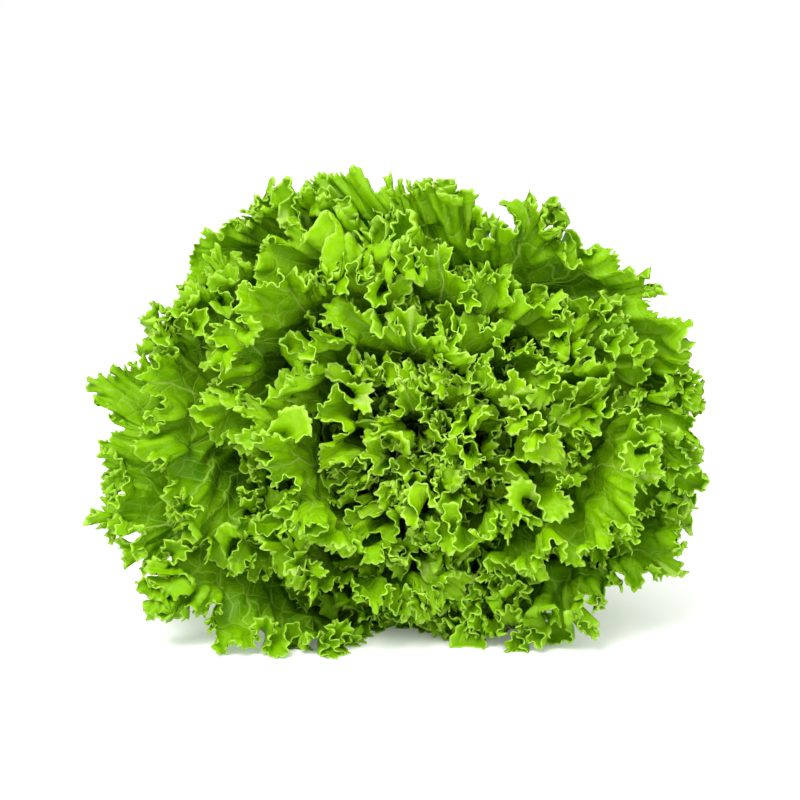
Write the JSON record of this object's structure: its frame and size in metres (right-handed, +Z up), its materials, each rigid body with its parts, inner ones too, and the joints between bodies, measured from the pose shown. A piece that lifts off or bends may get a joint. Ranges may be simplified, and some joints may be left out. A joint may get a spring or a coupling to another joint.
{
  "type": "green leaf lettuce",
  "caption": "A loose head of broad green leaves with frilled edges on a short cut stem, lying on its side with its crown to the front.",
  "frame": {"origin": "centre of the head's bounding box, on the surface that it lies on", "axes": "+Z up; the crown faces -Y and a little up, the stem's cut end points to +Y; +X is to the right when the crown is looked at, along the head's longest extent"},
  "size_m": [0.2584, 0.1938, 0.1947],
  "materials": {
    "stem": "moist, satin, pale",
    "outer_leaf": "satin, translucent",
    "middle_leaf": "satin, translucent",
    "heart_leaf": "satin, translucent"
  },
  "bodies": {
    "root": {"stem": "stem", "outer_leaf_01": "outer_leaf", "outer_leaf_02": "outer_leaf", "outer_leaf_03": "outer_leaf", "outer_leaf_04": "outer_leaf", "outer_leaf_05": "outer_leaf", "outer_leaf_06": "outer_leaf", "outer_leaf_07": "outer_leaf", "outer_leaf_08": "outer_leaf", "outer_leaf_09": "outer_leaf", "middle_leaf_01": "middle_leaf", "middle_leaf_02": "middle_leaf", "middle_leaf_03": "middle_leaf", "middle_leaf_04": "middle_leaf", "middle_leaf_05": "middle_leaf", "middle_leaf_06": "middle_leaf", "middle_leaf_07": "middle_leaf", "middle_leaf_08": "middle_leaf", "middle_leaf_09": "middle_leaf", "middle_leaf_10": "middle_leaf", "heart_leaf_01": "heart_leaf", "heart_leaf_02": "heart_leaf", "heart_leaf_03": "heart_leaf", "heart_leaf_04": "heart_leaf", "heart_leaf_05": "heart_leaf", "heart_leaf_06": "heart_leaf", "heart_leaf_07": "heart_leaf", "heart_leaf_08": "heart_leaf", "heart_leaf_09": "heart_leaf"}
  },
  "joints": []
}
